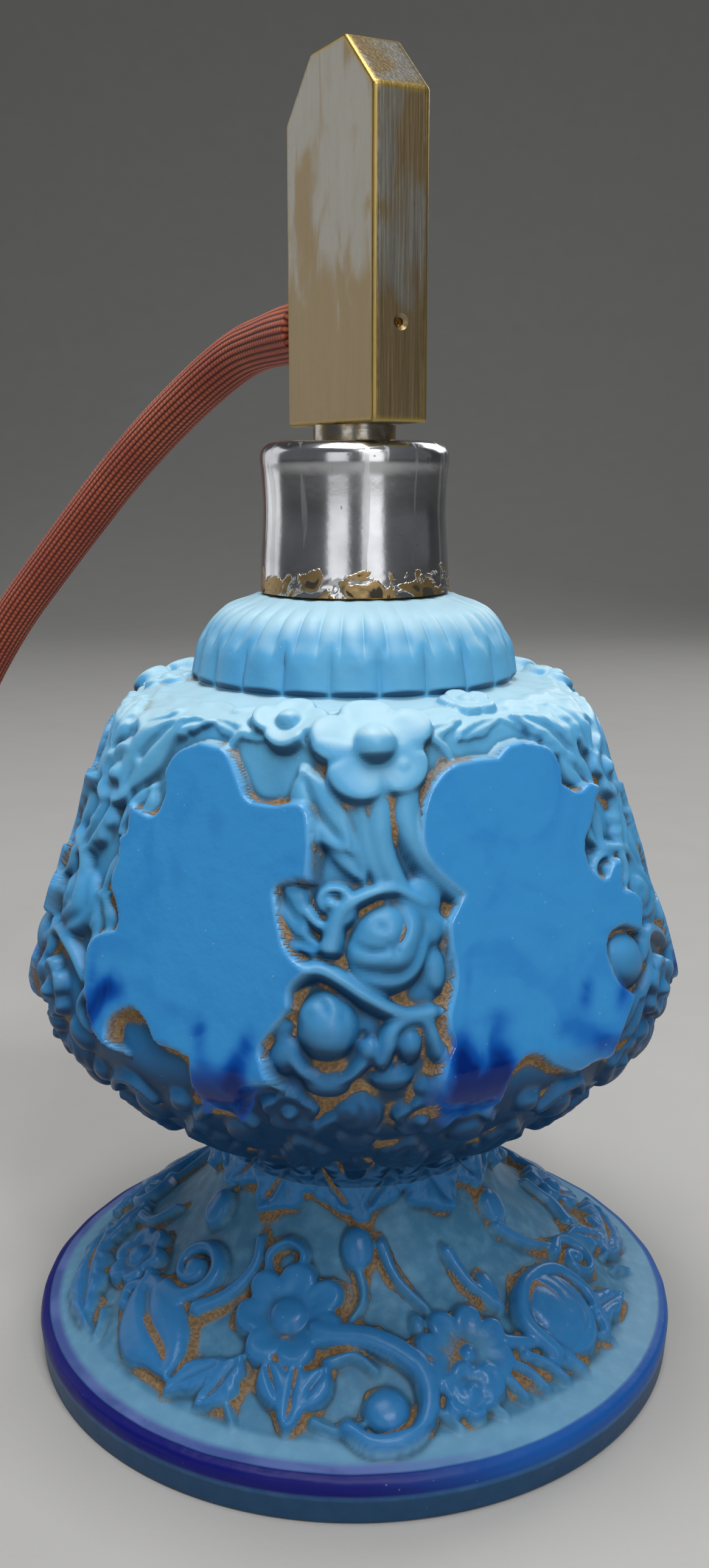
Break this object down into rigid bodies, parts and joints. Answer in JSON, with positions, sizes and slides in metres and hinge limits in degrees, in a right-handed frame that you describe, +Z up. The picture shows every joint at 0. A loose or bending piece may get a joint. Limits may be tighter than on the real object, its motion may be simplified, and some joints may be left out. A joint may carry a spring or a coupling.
{
  "type": "perfume atomiser",
  "caption": "Perfume atomiser: footed blue pressed-glass bottle, chromed screw collar, flat brass spray head, braided hose and a netted rubber squeeze bulb.",
  "frame": {"origin": "middle of the flat underside of the foot", "axes": "+Z up along the bottle's axis, -Y towards the corner of the belly that faces the front, +X to the right; the nozzle points to the front right"},
  "size_m": [0.2257, 0.1569, 0.1714],
  "materials": {
    "blue_glass": "opaque pressed glass, satin relief with polished panels",
    "plaster": "dry plaster cement",
    "brass": "turned brass",
    "brass_plated": "brushed, plating worn through to brass",
    "worn_chrome": "bright chrome, flaked and stained at the lower edge",
    "valve_nickel": "dull nickel plate",
    "cork_rubber": "matt washer",
    "dip_plastic": "milky tube",
    "steel": "polished ball",
    "bulb_rubber": "soft matt rubber",
    "rust_braid": "ribbed textile braid",
    "rust_net": "knitted silk net"
  },
  "bodies": {
    "bottle": {"glass_bottle": "blue_glass", "neck_cement": "plaster", "neck_ring": "brass"},
    "washer": {"neck_gasket": "cork_rubber"},
    "head": {"stem_tube": "brass_plated", "dip_tube": "dip_plastic", "spray_core": "brass", "head_block": "brass_plated", "nozzle_jet": "brass", "fine_tube": "brass", "hose_nipple": "brass", "hose_core": "bulb_rubber", "hose_braid": "rust_braid", "outlet_valve_body": "valve_nickel", "outlet_ferrule": "valve_nickel", "inlet_ferrule": "valve_nickel", "inlet_valve_body": "valve_nickel"},
    "collar": {"collar_cap": "worn_chrome", "collar_insert": "brass"},
    "bulb": {"bulb_rubber": "bulb_rubber", "bulb_net": "rust_net"},
    "outlet_ball": {"outlet_ball": "steel"},
    "inlet_ball": {"inlet_ball": "steel"}
  },
  "joints": [
    {"name": "head_lift", "type": "slide", "parent": "bottle", "child": "washer", "axis": [0, 0, 1], "range_m": [0, 0.075]},
    {"name": "head_aim", "type": "hinge", "parent": "washer", "child": "head", "pos_m": [0, 0, 0.1146], "axis": [0, 0, 1], "continuous": true},
    {"name": "collar_turn", "type": "hinge", "parent": "head", "child": "collar", "pos_m": [0, 0, 0.115], "axis": [0, 0, 1], "continuous": true},
    {"name": "bulb_squeeze", "type": "slide", "parent": "head", "child": "bulb", "axis": [0, 0, -1], "range_m": [0, 0.012], "stiffness_N_per_m": 500, "deforming": ["bulb_rubber", "bulb_net"]},
    {"name": "outlet_ball_lift", "type": "slide", "parent": "head", "child": "outlet_ball", "axis": [0.8971, -0.1282, 0.4229], "range_m": [0, 0.001]},
    {"name": "inlet_ball_lift", "type": "slide", "parent": "head", "child": "inlet_ball", "axis": [0.8971, -0.1282, 0.4229], "range_m": [0, 0.001]}
  ]
}
